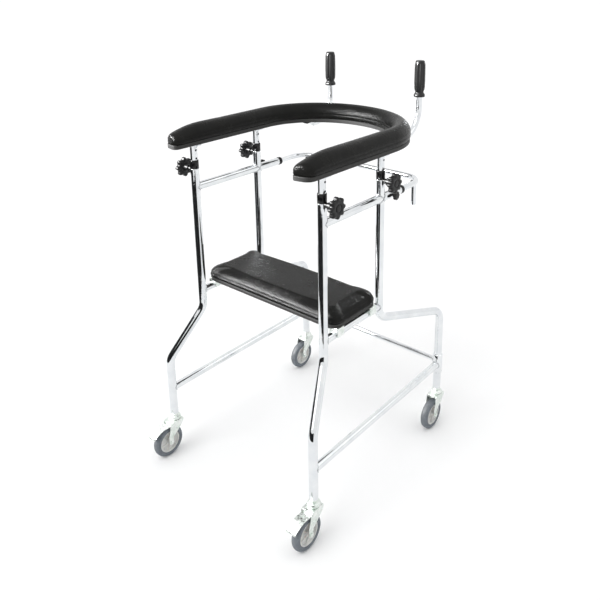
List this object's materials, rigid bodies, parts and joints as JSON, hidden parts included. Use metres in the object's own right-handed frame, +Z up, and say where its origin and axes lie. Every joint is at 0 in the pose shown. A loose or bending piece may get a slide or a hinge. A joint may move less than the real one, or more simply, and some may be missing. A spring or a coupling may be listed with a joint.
{
  "type": "underarm walker",
  "caption": "Underarm walking frame with a U-shaped padded armrest, upright hand grips, a padded seat, telescoping posts and swivelling braked castors.",
  "frame": {"origin": "on the floor under the middle of the bounding box", "axes": "+Z up, +Y the way the user walks, +X the user's right"},
  "size_m": [0.628, 0.7603, 1.222],
  "materials": {
    "chrome": "polished chrome plate on steel tube",
    "zinc_plate": "zinc-plated pressed steel with a faint green-yellow passivation",
    "black_plastic": "black injection-moulded plastic, fine satin",
    "black_grip": "glossy black moulded grip",
    "black_vinyl": "black upholstery vinyl with a fine grain",
    "board_laminate": "black board, matt",
    "grey_rubber": "grey rubber, matt",
    "pale_plastic": "pale grey nylon"
  },
  "bodies": {
    "frame": {"rear_leg_L": "chrome", "rear_leg_R": "chrome", "front_leg_L": "chrome", "front_leg_R": "chrome", "upper_rail_L": "chrome", "upper_rail_R": "chrome", "seat_rail_L": "chrome", "seat_rail_R": "chrome", "lower_rail_L": "chrome", "lower_rail_R": "chrome", "front_cross_tube": "chrome", "rail_socket_L": "chrome", "rail_socket_R": "chrome", "rail_collar_L": "black_plastic", "rail_collar_R": "black_plastic", "post_collar_RL": "black_plastic", "post_collar_RR": "black_plastic", "post_collar_FL": "black_plastic", "post_collar_FR": "black_plastic", "castor_stem_RL": "zinc_plate", "castor_stem_RR": "zinc_plate", "castor_stem_FL": "zinc_plate", "castor_stem_FR": "zinc_plate", "seat_board": "board_laminate", "seat_cushion": "black_vinyl"},
    "armrest": {"underarm_board": "board_laminate", "underarm_cushion": "black_vinyl", "handle_stem_L": "chrome", "handle_stem_R": "chrome", "grip_L": "black_grip", "grip_R": "black_grip", "inner_post_RL": "chrome", "inner_post_RR": "chrome", "inner_post_FL": "chrome", "inner_post_FR": "chrome"},
    "bow": {"front_bow": "chrome", "bow_holder_L": "chrome", "bow_holder_R": "chrome"},
    "knob_RL": {"star_knob_RL": "black_plastic"},
    "knob_RR": {"star_knob_RR": "black_plastic"},
    "knob_FL": {"star_knob_FL": "black_plastic"},
    "knob_FR": {"star_knob_FR": "black_plastic"},
    "thumb_L": {"thumb_screw_L": "black_plastic"},
    "thumb_R": {"thumb_screw_R": "black_plastic"},
    "castor_RL": {"castor_fork_RL": "zinc_plate"},
    "wheel_RL": {"castor_hub_RL": "pale_plastic", "castor_tyre_RL": "grey_rubber"},
    "castor_RR": {"castor_fork_RR": "zinc_plate"},
    "wheel_RR": {"castor_hub_RR": "pale_plastic", "castor_tyre_RR": "grey_rubber"},
    "castor_FL": {"castor_fork_FL": "zinc_plate"},
    "wheel_FL": {"castor_hub_FL": "pale_plastic", "castor_tyre_FL": "grey_rubber"},
    "castor_FR": {"castor_fork_FR": "zinc_plate"},
    "wheel_FR": {"castor_hub_FR": "pale_plastic", "castor_tyre_FR": "grey_rubber"},
    "pedal_RL": {"brake_pedal_RL": "zinc_plate"},
    "pedal_RR": {"brake_pedal_RR": "zinc_plate"}
  },
  "joints": [
    {"name": "armrest_height", "type": "slide", "parent": "frame", "child": "armrest", "axis": [0, 0, 1], "range_m": [0, 0.15]},
    {"name": "bow_reach", "type": "slide", "parent": "frame", "child": "bow", "axis": [0, 1, 0], "range_m": [0, 0.03]},
    {"name": "knob_turn_RL", "type": "hinge", "parent": "frame", "child": "knob_RL", "pos_m": [-0.2568, -0.184, 0.925], "axis": [-1, 0, 0], "range_deg": [0, 360]},
    {"name": "knob_turn_RR", "type": "hinge", "parent": "frame", "child": "knob_RR", "pos_m": [0.2568, -0.184, 0.925], "axis": [1, 0, 0], "range_deg": [0, 360]},
    {"name": "knob_turn_FL", "type": "hinge", "parent": "frame", "child": "knob_FL", "pos_m": [-0.2568, 0.068, 0.925], "axis": [-1, 0, 0], "range_deg": [0, 360]},
    {"name": "knob_turn_FR", "type": "hinge", "parent": "frame", "child": "knob_FR", "pos_m": [0.2568, 0.068, 0.925], "axis": [1, 0, 0], "range_deg": [0, 360]},
    {"name": "thumb_turn_L", "type": "hinge", "parent": "frame", "child": "thumb_L", "pos_m": [-0.2568, 0.114, 0.872], "axis": [-1, 0, 0], "range_deg": [0, 360]},
    {"name": "thumb_turn_R", "type": "hinge", "parent": "frame", "child": "thumb_R", "pos_m": [0.2568, 0.114, 0.872], "axis": [1, 0, 0], "range_deg": [0, 360]},
    {"name": "castor_swivel_RL", "type": "hinge", "parent": "frame", "child": "castor_RL", "pos_m": [-0.292, -0.287, 0.1163], "axis": [0, 0, 1], "continuous": true},
    {"name": "wheel_spin_RL", "type": "hinge", "parent": "castor_RL", "child": "wheel_RL", "pos_m": [-0.292, -0.319, 0.0505], "axis": [1, 0, 0], "continuous": true},
    {"name": "castor_swivel_RR", "type": "hinge", "parent": "frame", "child": "castor_RR", "pos_m": [0.292, -0.287, 0.1163], "axis": [0, 0, 1], "continuous": true},
    {"name": "wheel_spin_RR", "type": "hinge", "parent": "castor_RR", "child": "wheel_RR", "pos_m": [0.292, -0.319, 0.0505], "axis": [1, 0, 0], "continuous": true},
    {"name": "castor_swivel_FL", "type": "hinge", "parent": "frame", "child": "castor_FL", "pos_m": [-0.292, 0.345, 0.1163], "axis": [0, 0, 1], "continuous": true},
    {"name": "wheel_spin_FL", "type": "hinge", "parent": "castor_FL", "child": "wheel_FL", "pos_m": [-0.292, 0.313, 0.0505], "axis": [1, 0, 0], "continuous": true},
    {"name": "castor_swivel_FR", "type": "hinge", "parent": "frame", "child": "castor_FR", "pos_m": [0.292, 0.345, 0.1163], "axis": [0, 0, 1], "continuous": true},
    {"name": "wheel_spin_FR", "type": "hinge", "parent": "castor_FR", "child": "wheel_FR", "pos_m": [0.292, 0.313, 0.0505], "axis": [1, 0, 0], "continuous": true},
    {"name": "brake_press_RL", "type": "hinge", "parent": "castor_RL", "child": "pedal_RL", "pos_m": [-0.292, -0.3115, 0.1055], "axis": [1, 0, 0], "range_deg": [0, 7]},
    {"name": "brake_press_RR", "type": "hinge", "parent": "castor_RR", "child": "pedal_RR", "pos_m": [0.292, -0.3115, 0.1055], "axis": [1, 0, 0], "range_deg": [0, 7]}
  ]
}
